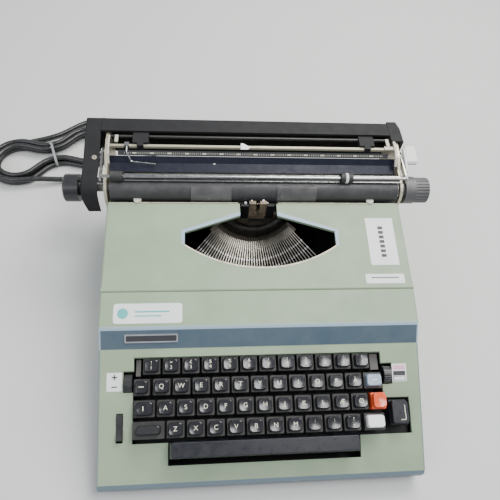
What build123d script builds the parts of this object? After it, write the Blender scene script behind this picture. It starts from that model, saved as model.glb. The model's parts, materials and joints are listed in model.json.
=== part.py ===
"""Compact electric typewriter with a moving carriage, built piece by piece.

Working directions: x to the right from the middle of the case, y to the back from the front edge
of the deck, z up from the table. The planes below carry that frame to the typewriter's origin,
which is the bottom centre of its box. All sizes are in millimetres.
"""
from math import atan2, cos, degrees, pi, radians, sin, sqrt, tan
import os

from build123d import *

os.makedirs("parts", exist_ok=True)

# ---------------------------------------------------------------- driving dimensions
mid_x = 5.0                    # the case's middle, from the origin
front_y = -179.75              # the deck's front edge, from the origin
wall = 3.0                     # moulded case wall
gap = 0.4                      # clear space between pieces that move past each other
fit = 0.06                     # radial clearance of a running shaft

case_half = 161.0              # half the width of the case
pan_top, case_low, pan_low = 16.0, 12.0, 4.0
nose_low, nose_y = 24.5, -2.5
deck_z, band_y, band_z = 28.0, 113.0, 82.0            # deck: front edge height, rear edge
band_top_y, band_top_z = 130.5, 96.0                  # raised band behind the deck
seam_y, seam_z = 164.5, 104.0                         # front shell meets the top cover
cover_end_y, cover_end_z = 265.4, 120.0               # rear edge of the top cover
skirt_z, rear_wall_z, back_y = 92.0, 86.0, 348.0
nose_radius = 2.7                                     # rounded front edge the cover turns on

key_pitch, key_slope = 19.05, 14.0
row_1 = (97.5, 79.1)                                  # key-top centre of the rear row: y, z
row_starts = (-110.1, -100.1, -95.9, -86.4)           # first letter key of each row
row_counts = (12, 11, 11, 10)
row_depths = (97.5, 78.4, 59.1, 40.4)
cap_height, plate_depth, plate_thick, stem_length = 11.0, 28.0, 1.5, 22.0

platen_y, platen_z, platen_r = 285.0, 120.0, 16.0
platen_x = (-158.0, 159.0)
shaft_r = 4.0
bail_y, bail_z, bail_pivot_y, bail_pivot_z = 283.0, 141.8, 319.0, 141.0
floor_low, floor_high = 92.5, 94.5                    # the carriage's bottom plate
carriage_rear, carriage_top = 362.0, 152.0

segment_slope, segment_r, throw = 49.0, 63.3, 45.7    # typebar pivots: tilt, radius, throw
print_y, print_z = 268.4, 122.0                       # where the type meets the paper
bar_count, bar_spread, bar_rest = 44, 46.0, 25.0      # typebars, half of their fan, rest angle
cord_d = 7.0
cord_z = 4.0                                          # the cord's middle when it lies on the table

# ---------------------------------------------------------------- planes and helpers


def level(z):
    """Horizontal plane at height z: sketch x to the right, sketch y to the back."""
    return Plane(origin=(mid_x, front_y, z))


def section(x):
    """Upright plane across the machine at x: sketch x to the back, sketch y up."""
    return Plane(origin=(mid_x + x, front_y, 0), x_dir=(0, 1, 0), z_dir=(1, 0, 0))


def facing(y):
    """Upright plane along the machine at y: sketch x to the right, sketch y up."""
    return Plane(origin=(mid_x, front_y + y, 0), x_dir=(1, 0, 0), z_dir=(0, -1, 0))


def spot(x, y, z):
    return (mid_x + x, front_y + y, z)


def block(xs, ys, zs, mode=Mode.ADD):
    """Box between two limits in each direction."""
    middle = spot(sum(xs) / 2, sum(ys) / 2, sum(zs) / 2)
    with Locations(middle):
        Box(xs[1] - xs[0], ys[1] - ys[0], zs[1] - zs[0], mode=mode)


def rod(xs, y, z, radius, mode=Mode.ADD):
    """Cylinder that lies from side to side."""
    with Locations(Location(spot(sum(xs) / 2, y, z), (0, 90, 0))):
        Cylinder(radius, xs[1] - xs[0], mode=mode)


def save(piece, name):
    piece.part.label = name
    export_step(piece.part, f"parts/{name}.step")


def bar_of(points, xs):
    """Piece with one outline seen from the side, from xs[0] to xs[1]."""
    with BuildPart() as piece:
        with BuildSketch(section(xs[0])):
            with BuildLine():
                Polyline(*points, close=True)
            make_face()
        extrude(amount=xs[1] - xs[0])
    return piece


def deck_at(y):
    return deck_z + y * (band_z - deck_z) / band_y


def key_z(y):
    """Height of the key tops at depth y."""
    return row_1[1] - (row_1[0] - y) * tan(radians(key_slope))


def key_plane(x, y, lift=0.0):
    """Plane on the key tops at (x, y), raised by lift along the keys' stroke."""
    normal = (0, -sin(radians(key_slope)), cos(radians(key_slope)))
    return Plane(origin=spot(x, y, key_z(y)), x_dir=(1, 0, 0), z_dir=normal).offset(lift)


# ---------------------------------------------------------------- case
with BuildPart() as feet:
    for foot_x in (-135, 135):
        for foot_y in (24, 325):
            with Locations(spot(foot_x, foot_y, pan_low / 2)):
                Cylinder(9, pan_low)
    chamfer(feet.faces().group_by(Axis.Z)[0].edges(), 0.8)
save(feet, "feet")

pan_half = case_half - wall - 0.5
with BuildPart() as base_pan:
    block((-pan_half, pan_half), (4, back_y - 6), (pan_low, pan_top))
    edges_up = base_pan.edges().filter_by(Axis.Z)
    fillet(edges_up, 6)
    block((3 - pan_half, pan_half - 3), (7, back_y - 9), (pan_low + 2.5, pan_top + 1), Mode.SUBTRACT)
save(base_pan, "base_pan")

case_outline = [
    (nose_y, case_low), (nose_y, nose_low), (0, deck_z), (band_y, band_z), (band_top_y, band_top_z),
    (seam_y, seam_z), (seam_y, skirt_z), (268, skirt_z), (268, rear_wall_z), (back_y, rear_wall_z),
    (back_y, case_low),
]
well_outline = [
    (-128, 33), (-94, 33), (-94, 13.9), (95.5, 13.9), (95.5, 33), (149.2, 33), (147.4, 65),
    (122, 65), (120.6, 76.8), (131.2, 76.8), (131.2, 96), (120, 96), (119.6, 106.2), (-127, 106.2),
    (-127, 94.6), (-137, 94.6), (-137, 76.2), (-127.6, 76.2),
]
with BuildPart() as front_shell:
    with BuildSketch(section(-case_half)):
        with BuildLine():
            Polyline(*case_outline, close=True)
        make_face()
    extrude(amount=2 * case_half)
    side_edges = front_shell.edges().group_by(Axis.X)
    top_edges = [e for e in side_edges[0] + side_edges[-1] if e.center().Z > nose_low + 1]
    deck_edges = [e for e in top_edges if e.center().Y < front_y + seam_y - 1]
    fillet(deck_edges, 2.2)
    with BuildSketch(section(wall - case_half)):
        with BuildLine():
            Polyline(*case_outline, close=True)
        make_face()
        offset(amount=-wall, kind=Kind.INTERSECTION, mode=Mode.REPLACE)
    extrude(amount=2 * (case_half - wall), mode=Mode.SUBTRACT)
    inner = case_half - wall
    block((-inner, inner), (nose_y + wall, back_y - wall), (case_low - 1, pan_top), Mode.SUBTRACT)
    block((-inner, inner), (seam_y + 0.2, back_y - wall), (70, skirt_z + 9), Mode.SUBTRACT)
    with BuildSketch(level(25)):
        with BuildLine():
            Polyline(*well_outline, close=True)
        make_face()
        with Locations((-140, 46.6)):
            Rectangle(6.6, 24.8)
    extrude(amount=70, mode=Mode.SUBTRACT)
    with Locations(Location(spot(-120, back_y - wall / 2, 34), (90, 0, 0))):
        Cylinder(6.4, wall + 2, mode=Mode.SUBTRACT)
save(front_shell, "front_shell")

# The top cover turns on its rounded front edge, so its nose is a cylinder about that axis.
hinge_y = seam_y + 0.7 + nose_radius
hinge_z = seam_z + (hinge_y - seam_y) * (cover_end_z - seam_z) / (cover_end_y - seam_y) - nose_radius
fan_left, fan_right = -78.4, 83.5
with BuildPart() as top_cover:
    with BuildSketch(section(-case_half)):
        with BuildLine():
            top_line = Line((hinge_y, hinge_z + nose_radius), (cover_end_y, cover_end_z))
            Polyline(top_line @ 1, (cover_end_y, skirt_z + gap), (hinge_y, skirt_z + gap),
                     (hinge_y, hinge_z - nose_radius))
            ThreePointArc((hinge_y, hinge_z - nose_radius), (hinge_y - nose_radius, hinge_z),
                          (hinge_y, hinge_z + nose_radius))
        make_face()
    extrude(amount=2 * case_half)
    ends = top_cover.edges().group_by(Axis.X)
    long_edges = [e for e in ends[0] + ends[-1] if e.center().Z > hinge_z + 5 and e.length > 50]
    fillet(long_edges, 2.2)
    with BuildSketch(section(wall - case_half)):
        with BuildLine():
            slope = (cover_end_z - seam_z) / (cover_end_y - seam_y)
            Polyline((hinge_y + 2, hinge_z - 8), (hinge_y + 2, hinge_z + nose_radius - wall),
                     (cover_end_y + 2, cover_end_z - wall + 2 * slope), (cover_end_y + 2, skirt_z - 2),
                     (hinge_y - 4, skirt_z - 2), (hinge_y - 4, hinge_z - nose_radius - 0.4),
                     (hinge_y + 1, hinge_z - nose_radius - 0.4), close=True)
        make_face()
    extrude(amount=2 * (case_half - wall), mode=Mode.SUBTRACT)
    with BuildSketch(level(80)):
        with BuildLine():
            Polyline((fan_left, 216.3), (fan_left, 230), (-18.9, 249.8), (-18.9, 270), (21.7, 270),
                     (21.7, 249.8), (fan_right, 231), (fan_right, 214.8))
            ThreePointArc((fan_right, 214.8), (1.3, 190.5), (fan_left, 216.3))
        make_face()
        with Locations((0, cover_end_y)):
            Rectangle(260, 2.4)
    extrude(amount=60, mode=Mode.SUBTRACT)
save(top_cover, "top_cover")

with BuildPart() as name_plate:
    plate_slope = degrees(atan2(band_top_z - band_z, band_top_y - band_y))
    plate_y = (118.4 + 125) / 2
    plate_z = band_z + (plate_y - band_y) * (band_top_z - band_z) / (band_top_y - band_y)
    with BuildSketch(Plane(origin=spot(-110.2, plate_y, plate_z), x_dir=(1, 0, 0),
                           z_dir=(0, -sin(radians(plate_slope)), cos(radians(plate_slope))))):
        RectangleRounded(51.5, 8.4, 1)
    extrude(amount=1)
save(name_plate, "name_plate")

# ---------------------------------------------------------------- keyboard
with BuildPart() as keyboard_plate:
    plate_top = -plate_depth
    with BuildSketch(key_plane(0, 60, plate_top)):
        with BuildLine():
            Polyline((-126, -47), (149, -47), (149, 5), (117, 5), (117, 50), (-126, 50), close=True)
        make_face()
    extrude(amount=-plate_thick)
    for row in range(4):
        for column in range(row_counts[row]):
            stem_x = row_starts[row] + column * key_pitch
            with BuildSketch(key_plane(stem_x, row_depths[row], plate_top + 1)):
                Rectangle(6.0, 2.6)
            extrude(amount=-plate_thick - 2, mode=Mode.SUBTRACT)
save(keyboard_plate, "keyboard_plate")


def add_key(x, y, width, depth=16.2, height=cap_height, raise_by=0.0, stems=(0,), step=3.2):
    """One key on the current row: skirt with a shoulder, rounded cap, and its stem or stems."""
    shoulder = (width - 0.4, depth - 0.8, 1.2, -6.2)
    foot = (width - step, depth - step - 0.6)
    steps = ((0, -6.2), (0.8, -1.4), (1.3, -0.4), (2.4, 0))
    cap = [(foot[0] - trim, foot[1] - trim, 2.8, drop) for trim, drop in steps]
    layers = [((width + 1.2, depth + 0.6, 1.2, -height), shoulder), *zip(cap, cap[1:])]
    with BuildPart() as key:
        for pair in layers:
            for wide, deep, corner, drop in pair:
                with BuildSketch(key_plane(x, y, raise_by + drop)):
                    RectangleRounded(wide, deep, corner)
            loft()
        for stem in stems:
            with BuildSketch(key_plane(x + stem, y, raise_by - height)):
                Rectangle(5, 1.6)
            extrude(amount=-stem_length)
    return key.part


def dish(x, y, raise_by=0.0, radius=40.0, depth=0.5):
    """Hollow for the fingertip."""
    centre = key_plane(x, y, raise_by + radius - depth).origin
    with Locations(centre):
        Sphere(radius, mode=Mode.SUBTRACT)


for row in range(4):
    with BuildPart() as keys:
        depth_y = row_depths[row]
        for column in range(row_counts[row]):
            key_x = row_starts[row] + column * key_pitch
            add(add_key(key_x, depth_y, 17.0))
            dish(key_x, depth_y)
        if row == 1:
            add(add_key(-119.1, depth_y, 15.6, stems=()))
            dish(-119.1, depth_y)
        if row == 2:
            add(add_key(-116.3, depth_y, 20.4, stems=()))
            dish(-116.3, depth_y)
    save(keys, f"keys_row_{row + 1}")

with BuildPart() as space_bar:
    bar_y = 22.4
    with BuildSketch(key_plane(-0.5, bar_y, 0)):
        RectangleRounded(179, 13.4, 2)
    with BuildSketch(key_plane(-0.5, bar_y, -10)):
        RectangleRounded(183, 16.4, 1)
    loft()
    fillet(space_bar.faces().sort_by(Axis.Z)[-1].edges(), 0.6)
save(space_bar, "space_bar")

with BuildPart() as shift_keys:
    add(add_key(-111.6, row_depths[3], 30.0, stems=(), step=7.0))
    add(add_key(107.6, row_depths[3], 21.0, stems=()))
save(shift_keys, "shift_keys")

with BuildPart() as tab_key:
    add(add_key(110.0, row_depths[1], 18.8, stems=()))
save(tab_key, "tab_key")

with BuildPart() as correction_key:
    add(add_key(113.0, row_depths[2], 14.6, raise_by=2.0, height=13.0, stems=(), step=1.0))
    dish(113.0, row_depths[2], raise_by=2.0)
save(correction_key, "correction_key")

with BuildPart() as return_key:
    add(add_key(134.0, 48.0, 18.4, depth=24.6, raise_by=-3.0, stems=(), step=1.0))
save(return_key, "return_key")

switch_y, switch_x = 46.6, -140.0
switch_z = deck_at(switch_y)
with BuildPart() as power_switch:
    with BuildSketch(section(switch_x - 2.8)):
        with BuildLine():
            Polyline((switch_y - 11, switch_z - 8.6), (switch_y + 9, switch_z + 1),
                     (switch_y + 11, switch_z + 8),
                     (switch_y - 1, switch_z + 0.4), (switch_y - 11.4, switch_z - 0.6), close=True)
        make_face()
    extrude(amount=5.6)
    rod((switch_x - 3.1, switch_x + 3.1), switch_y, switch_z - 3, 2)
save(power_switch, "power_switch")

wheel_r, wheel_depth = 8.8, 4.5
wheels = {"impression_wheel": (-132.2, 85.4), "selector_wheel": (125.8, 86.4)}
for wheel_name, (wheel_x, wheel_y) in wheels.items():
    with BuildPart() as wheel:
        with BuildSketch(section(wheel_x - 3.8)):
            with Locations((wheel_y, deck_at(wheel_y) - wheel_depth)):
                Circle(wheel_r)
                with PolarLocations(wheel_r + 0.2, 24):
                    Circle(0.6, mode=Mode.SUBTRACT)
                Circle(3, mode=Mode.SUBTRACT)
        extrude(amount=7.6)
    save(wheel, wheel_name)

# ---------------------------------------------------------------- frame and drive
with BuildPart() as side_plates:
    for plate_x in (-152, 150):
        with BuildSketch(section(plate_x)):
            with BuildLine():
                Polyline((150, pan_low + 2.5), (336, pan_low + 2.5), (340, 74),
                         (286, 74), (270, 62), (200, 48),
                         (150, 40), close=True)
            make_face()
            with Locations((200, 26), (300, 40)):
                Circle(9, mode=Mode.SUBTRACT)
            with Locations((176, 26)):
                Circle(shaft_r + fit, mode=Mode.SUBTRACT)
        extrude(amount=2)
save(side_plates, "side_plates")

rail_z, rail_r, rail_ys = 70.0, 3.5, (292.0, 330.0)
with BuildPart() as carriage_rails:
    for rail_y in rail_ys:
        rod((-149.9, 149.9), rail_y, rail_z, rail_r)
save(carriage_rails, "carriage_rails")

motor_y, motor_z = 206.0, 36.0
with BuildPart() as motor:
    rod((-148, -115), motor_y, motor_z, 24)
    rod((-115, -111), motor_y, motor_z, 18)
    rod((-111, -99), motor_y, motor_z, 2.5)
    block((-146, -118), (motor_y - 18, motor_y + 18), (pan_low + 2.5, motor_z - 14))
save(motor, "motor")

roller_y, roller_z, roller_r = 176.0, 26.0, 9.0
with BuildPart() as motor_pulley:
    rod((-109, -101), motor_y, motor_z, 7)
    rod((-110, -100), motor_y, motor_z, 2.5 + fit, Mode.SUBTRACT)
save(motor_pulley, "motor_pulley")

with BuildPart() as power_roller:
    rod((-70, 130), roller_y, roller_z, roller_r)
    rod((-109, -101), roller_y, roller_z, 11)
    rod((-154, 154), roller_y, roller_z, shaft_r)
save(power_roller, "power_roller")

# Belt: a closed loop round both pulleys, clear of them by a small gap.
belt_gap = 0.35
with BuildPart() as drive_belt:
    with BuildSketch(section(-107.5)):
        for outer, mode in ((belt_gap + 1.6, Mode.ADD), (belt_gap, Mode.SUBTRACT)):
            with BuildSketch(mode=Mode.PRIVATE) as band:
                with Locations((motor_y, motor_z)):
                    Circle(7 + outer)
                with Locations((roller_y, roller_z)):
                    Circle(11 + outer)
                make_hull()
            add(band.sketch, mode=mode)
    extrude(amount=5)
save(drive_belt, "drive_belt")

drum_x, drum_z = 112.0, 50.0
with BuildPart() as mainspring_drum:
    with Locations(Location(spot(drum_x, 316, drum_z), (90, 0, 0))):
        Cylinder(20, 8)
    with Locations(Location(spot(drum_x, 311, drum_z), (90, 0, 0))):
        Cylinder(22, 1.2)
    with Locations(Location(spot(drum_x, 321, drum_z), (90, 0, 0))):
        Cylinder(22, 1.2)
    with Locations(Location(spot(drum_x, 316, drum_z), (90, 0, 0))):
        Cylinder(3, 30)
save(mainspring_drum, "mainspring_drum")

# ---------------------------------------------------------------- type basket
slope_r = radians(segment_slope)
basket_y = print_y + throw * sin(slope_r)
basket_z = print_z - throw * cos(slope_r)
basket_x = 1.5
basket_plane = Plane(origin=spot(basket_x, basket_y, basket_z), x_dir=(1, 0, 0),
                     z_dir=(0, -sin(slope_r), cos(slope_r)))
bar_length = sqrt(segment_r ** 2 + throw ** 2)
bar_step = 2 * bar_spread / (bar_count - 1)
middle_bar = bar_count // 2


def bar_angle(index):
    """Angle of a typebar's plane round the basket's axis, measured from straight ahead."""
    return (index - (bar_count - 1) / 2) * bar_step


def bar_plane(index):
    """Plane of one typebar: sketch x outward from its pivot, sketch y along the basket's axis."""
    turn = radians(bar_angle(index) - 90)
    outward = basket_plane.x_dir * cos(turn) + basket_plane.y_dir * sin(turn)
    origin = basket_plane.origin + outward * segment_r
    return Plane(origin=origin, x_dir=outward, z_dir=outward.cross(basket_plane.z_dir))


def typebar(index):
    """Slim bar with its type slug, lying at its rest angle."""
    rest = radians(bar_rest)
    tip = bar_length - 2.2
    with BuildPart() as bar:
        with BuildSketch(bar_plane(index).offset(-0.5)):
            with BuildLine():
                Polyline(*[(u * cos(rest) - v * sin(rest), u * sin(rest) + v * cos(rest)) for u, v in (
                    (-3, -2), (28, -2.4), (tip - 9, -1.2), (tip, -1.2), (tip, 5.4), (tip - 2.6, 5.4),
                    (tip - 3.4, 1.2), (28, 2.2), (-3, 2))], close=True)
            make_face()
            Circle(1.0 + fit, mode=Mode.SUBTRACT)
        extrude(amount=1.0)
    return bar.part


with BuildPart() as typebars:
    for index in range(bar_count):
        if index != middle_bar:
            add(typebar(index))
save(typebars, "typebars")

with BuildPart() as typebar_middle:
    add(typebar(middle_bar))
save(typebar_middle, "typebar_middle")

with BuildPart() as type_segment:
    with BuildSketch(basket_plane.offset(-7)):
        Circle(segment_r + 5)
        Circle(segment_r - 9, mode=Mode.SUBTRACT)
        with BuildLine():
            Polyline((0, 0), (100, -84), (100, 100), (-100, 100), (-100, -84), close=True)
        make_face(mode=Mode.SUBTRACT)
    extrude(amount=11)
    for index in range(bar_count):
        with BuildSketch(bar_plane(index).offset(-0.75)):
            with Locations((5, 4.6)):
                Rectangle(30, 17.8)
        extrude(amount=1.5, mode=Mode.SUBTRACT)
save(type_segment, "type_segment")

with BuildPart() as type_rest:
    rest_turn = radians(bar_rest)
    rest_out = segment_r + 56 * cos(rest_turn) + 3.2 * sin(rest_turn)
    rest_up = 56 * sin(rest_turn) - 3.2 * cos(rest_turn)
    with BuildSketch(basket_plane.offset(rest_up - 4)):
        Circle(rest_out + 3)
        Circle(rest_out - 3, mode=Mode.SUBTRACT)
        with BuildLine():
            Polyline((0, 0), (200, -176), (200, 200), (-200, 200), (-200, -176), close=True)
        make_face(mode=Mode.SUBTRACT)
    extrude(amount=3.4)
save(type_rest, "type_rest")

with BuildPart() as type_guide:
    for side in (-1, 1):
        near, far = sorted((basket_x + side * 2.4, basket_x + side * 9.6))
        block((near, far), (262.6, 266.8), (100, 121.5))
        near, far = sorted((basket_x + side * 9.6, basket_x + side * 18.6))
        block((near, far), (262.6, 266.6), (100, 117.5))
    block((basket_x - 18.6, basket_x + 18.6), (264.8, 266.6), (92, 100.2))
save(type_guide, "type_guide")

holder_r = platen_r + 0.6
with BuildPart() as card_holders:
    for low_x, high_x in ((-72, -28), (22, 66)):
        with BuildSketch(section(low_x)):
            with BuildLine():
                for radius in (holder_r, holder_r + 0.6):
                    CenterArc((platen_y, platen_z), radius, 121, 67)
                for turn in (121, 188):
                    Line((platen_y + holder_r * cos(radians(turn)), platen_z + holder_r * sin(radians(turn))),
                         (platen_y + (holder_r + 0.6) * cos(radians(turn)),
                          platen_z + (holder_r + 0.6) * sin(radians(turn))))
            make_face()
        extrude(amount=high_x - low_x)
save(card_holders, "card_holders")

with BuildPart() as ribbon_vibrator:
    for side in (-1, 1):
        near, far = sorted((basket_x + side * 3.0, basket_x + side * 8.4))
        block((near, far), (267.2, 268.3), (84, 112))
    block((basket_x - 8.4, basket_x + 8.4), (267.2, 268.3), (82, 86))
save(ribbon_vibrator, "ribbon_vibrator")

spool_y, spool_z = 212.0, 78.0
for side, spool_name in ((-1, "ribbon_spool_left"), (1, "ribbon_spool_right")):
    with BuildPart() as spool:
        for height, radius, thick in ((0, 23, 1.2), (7, 14 + 6 * (side < 0), 13), (14, 23, 1.2)):
            with Locations(spot(basket_x + side * 122, spool_y, spool_z + height)):
                Cylinder(radius, thick)
        with Locations(spot(basket_x + side * 122, spool_y, spool_z + 7)):
            Cylinder(3.0 + fit, 30, mode=Mode.SUBTRACT)
    save(spool, spool_name)

with BuildPart() as ribbon_brackets:
    for side in (-1, 1):
        spool_x = basket_x + side * 122
        block((spool_x - 12, spool_x + 12), (spool_y - 14, spool_y + 14), (73, 75))
        with Locations(spot(basket_x + side * 122, spool_y, spool_z + 7)):
            Cylinder(3.0, 24)
        edge = -152 + 2 if side < 0 else 150
        low_x, high_x = sorted((edge, basket_x + side * 122))
        block((low_x, high_x), (spool_y - 5, spool_y + 5), (73, 75))
        post = sorted((edge, edge - side * 2))
        block(post, (spool_y - 5, spool_y + 5), (40, 75))
save(ribbon_brackets, "ribbon_brackets")

# ---------------------------------------------------------------- carriage
feed_r, feed_shaft_r = 5.0, 1.8
feed_rollers = {"feed_roller_front": (275.5, 101.0), "feed_roller_rear": (294.6, 101.0)}
end_left, end_right = (-164.0, -161.0), (162.0, 165.0)
pivot_left, pivot_right = (-168.4, end_left[0] + 1), (end_right[1] - 1, 168.5)
end_outline = [
    (269.5, floor_low), (352, floor_low), (352, 146), (330, 148.6), (313, 147), (299, 137.5), (281, 135.4),
    (277.2, 133.3), (274, 130.9), (271.6, 127.7), (270, 124), (269.5, 120),
]
shoe_x = 20.0
with BuildPart() as carriage_frame:
    block((end_left[0], end_right[1]), (269.5, 346), (floor_low, floor_high))
    for end_x in (end_left, end_right):
        with BuildSketch(section(end_x[0])):
            with BuildLine():
                Polyline(*end_outline, close=True)
            make_face()
            with Locations((platen_y, platen_z)):
                Circle(shaft_r + fit, mode=Mode.SUBTRACT)
        extrude(amount=3)
    for rail_y in rail_ys:
        block((-shoe_x - 8, shoe_x + 8), (rail_y - 6, rail_y + 6), (rail_z - 1, floor_low + 0.5))
        rod((-shoe_x - 9, shoe_x + 9), rail_y, rail_z, rail_r + gap, Mode.SUBTRACT)
    for pivot in (pivot_left, pivot_right):
        rod(pivot, bail_pivot_y, bail_pivot_z, 1.5)
    for carrier_x in (-75, 0, 75):
        for feed_y, feed_z in feed_rollers.values():
            block((carrier_x - 2, carrier_x + 2), (feed_y - 3.4, feed_y + 3.4),
                  (floor_high - 1, feed_z + 2.6))
            rod((carrier_x - 3, carrier_x + 3), feed_y, feed_z, feed_shaft_r + fit, Mode.SUBTRACT)
save(carriage_frame, "carriage_frame")

tooth, rack_teeth = 2.54, 108
with BuildPart() as escapement_rack:
    with BuildSketch(facing(314)):
        with BuildLine():
            start = -rack_teeth * tooth / 2
            steps = ((0, 5), (0.7, 2.8))
            saw = [(start + (n + f) * tooth, floor_low - d) for n in range(rack_teeth) for f, d in steps]
            Polyline((start, floor_low), *saw, (-start, floor_low - 5), (-start, floor_low), close=True)
        make_face()
    extrude(amount=3)
save(escapement_rack, "escapement_rack")

cover_r = 19.0                                        # front of the end cover, round the platen's axis
cover_outline = [(carriage_rear, 99), (carriage_rear, 149), (carriage_rear - 3, carriage_top), (344, 150.4),
                 (302, 140), (platen_y, platen_z + cover_r)]
with BuildPart() as left_end_cover:
    with BuildSketch(section(-187)):
        with BuildLine():
            Polyline(*cover_outline)
            CenterArc((platen_y, platen_z), cover_r, 90, 90)
            Polyline((platen_y - cover_r, platen_z), (platen_y - cover_r, 103), (270, 99),
                     (carriage_rear, 99))
        make_face()
    extrude(amount=17)
    fillet([e for e in left_end_cover.edges().group_by(Axis.X)[0] if e.center().Z > 105], 1.8)
    with BuildSketch(section(-181)):
        with BuildLine():
            Polyline((platen_y, platen_z + cover_r - 1.4), (302, 138.2), (344, 148), (carriage_rear - 3, 148),
                     (carriage_rear - 3, 97), (platen_y - cover_r + 1.4, 97),
                      (platen_y - cover_r + 1.4, platen_z))
            CenterArc((platen_y, platen_z), cover_r - 1.4, 90, 90)
        make_face()
    extrude(amount=12, mode=Mode.SUBTRACT)
    rod((-188, -180), platen_y, platen_z, 9.5, Mode.SUBTRACT)
    with BuildSketch(facing(carriage_rear + 5)):
        with BuildLine():
            Polyline((-190, 124), (-187, 124), (-182, 97), (-190, 97), close=True)
        make_face()
    extrude(amount=120, mode=Mode.SUBTRACT)
save(left_end_cover, "left_end_cover")

rear_outline = [
    (340, carriage_top), (carriage_rear - 3, carriage_top), (carriage_rear, 149), (carriage_rear, 100),
    (carriage_rear - 2.5, 100), (carriage_rear - 2.5, 149), (carriage_rear - 4, 149.5), (340, 149.5),
]
rear_cover = bar_of(rear_outline, (-169.5, 156.8))
save(rear_cover, "rear_cover")

with BuildPart() as right_end_cap:
    with BuildSketch(level(100)):
        with BuildLine():
            Polyline((157.2, 331), (172, 331), (172, 348), (168, carriage_rear),
                     (157.2, carriage_rear), close=True)
        make_face()
    extrude(amount=carriage_top - 100)
    end_edges = right_end_cap.faces().sort_by(Axis.Z)[-1].edges().filter_by(Axis.X, reverse=True)
    fillet(end_edges.sort_by(Axis.X)[-1], 2)
    block((157, 166), (330, carriage_rear - 2.5), (99, 149.5), Mode.SUBTRACT)
    block((157, 168.5), (330, 353), (99, 149.5), Mode.SUBTRACT)
save(right_end_cap, "right_end_cap")

table_outline = [
    (301.6, 126.8), (311.2, 131.6), (316.2, 137.8), (315.2, 138.6), (310.4, 132.8), (301.2, 128.2),
]
paper_table = bar_of(table_outline, (-160.5, 161.5))
save(paper_table, "paper_table")

scale_strip = bar_of([(316.6, 138.4), (319.4, 143), (318.3, 143.7), (315.5, 139.1)], (-151, 153))
save(scale_strip, "scale_strip")

rack_y, rack_z, rod_y, rod_z = 322.6, 146.0, 337.0, 146.4
with BuildPart() as margin_rack:
    block((-160.9, 161.9), (rack_y - 1.5, rack_y + 1.5), (rack_z - 1.5, rack_z + 1.5))
    rod((-160.9, 161.9), rod_y, rod_z, 1.6)
save(margin_rack, "margin_rack")

for stop_name, stop_x in (("margin_stop_left", -126.5), ("margin_stop_right", 128.0)):
    with BuildPart() as stop:
        block((stop_x - 8.5, stop_x + 8.5), (324.6, 340), (142.6, 150))
        block((stop_x - 3.5, stop_x + 3.5), (320, 326), (142.6, 150))
        block((stop_x - 4, stop_x + 4), (rack_y - 1.9, rack_y + 1.9), (rack_z - 1.9, rack_z + 1.9),
              Mode.SUBTRACT)
        rod((stop_x - 9, stop_x + 9), rod_y, rod_z, 1.6 + fit, Mode.SUBTRACT)
    save(stop, stop_name)

guide_x = -141.0
with BuildPart() as paper_guide:
    block((guide_x - 2.5, guide_x + 2.5), (319.8, 325.4), (143.4, 149.6))
    block((guide_x - 3, guide_x + 3), (rack_y - 1.9, rack_y + 1.9), (rack_z - 1.9, rack_z + 1.9),
          Mode.SUBTRACT)
    with BuildLine():
        FilletPolyline(spot(guide_x, 321, 148.6), spot(guide_x, 314, 147), spot(guide_x + 5, 306.5, 139),
                       spot(guide_x + 31, 304.6, 137.4), radius=2.4)
    with BuildSketch(Plane(origin=spot(guide_x, 321, 148.6), z_dir=(0, -7, -1.6))):
        Circle(0.9)
    sweep()
save(paper_guide, "paper_guide")

with BuildPart() as platen:
    rod(platen_x, platen_y, platen_z, platen_r)
    rod((platen_x[0] - 1, platen_x[1] + 1), platen_y, platen_z, shaft_r, Mode.SUBTRACT)
save(platen, "platen")

with BuildPart() as platen_shaft:
    rod((-203, 193), platen_y, platen_z, shaft_r)
save(platen_shaft, "platen_shaft")

with BuildPart() as knob_left:
    rod((-207, -191), platen_y, platen_z, 15)
    chamfer(knob_left.edges().group_by(Axis.X)[0], 1.5)
    rod((-191, -184), platen_y, platen_z, 8)
    rod((-203, -183), platen_y, platen_z, shaft_r + fit, Mode.SUBTRACT)
save(knob_left, "knob_left")

knob_r, flutes = 14.5, 24
with BuildPart() as knob_right:
    with BuildSketch(section(181)):
        with Locations((platen_y, platen_z)):
            Circle(knob_r)
            with PolarLocations(knob_r + 0.5, flutes):
                Circle(1.1, mode=Mode.SUBTRACT)
    extrude(amount=16)
    rod((169, 181), platen_y, platen_z, 15.5)
    rod((165.5, 169), platen_y, platen_z, 11)
    rod((165, 193), platen_y, platen_z, shaft_r + fit, Mode.SUBTRACT)
save(knob_right, "knob_right")

ratchet_r, ratchet_teeth = 12.0, 36
with BuildPart() as ratchet_wheel:
    with BuildSketch(section(159.2)):
        with Locations((platen_y, platen_z)):
            Circle(ratchet_r)
            with PolarLocations(ratchet_r + 0.2, ratchet_teeth):
                Rectangle(1.4, 1.0, rotation=45, mode=Mode.SUBTRACT)
            Circle(shaft_r + fit, mode=Mode.SUBTRACT)
    extrude(amount=2.2)
save(ratchet_wheel, "ratchet_wheel")

for roller_name, (feed_y, feed_z) in feed_rollers.items():
    with BuildPart() as feed:
        rod((-155, 155), feed_y, feed_z, feed_shaft_r)
        for roll_x in (-110, -40, 40, 110):
            rod((roll_x - 16, roll_x + 16), feed_y, feed_z, feed_r)
    save(feed, roller_name)

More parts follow.
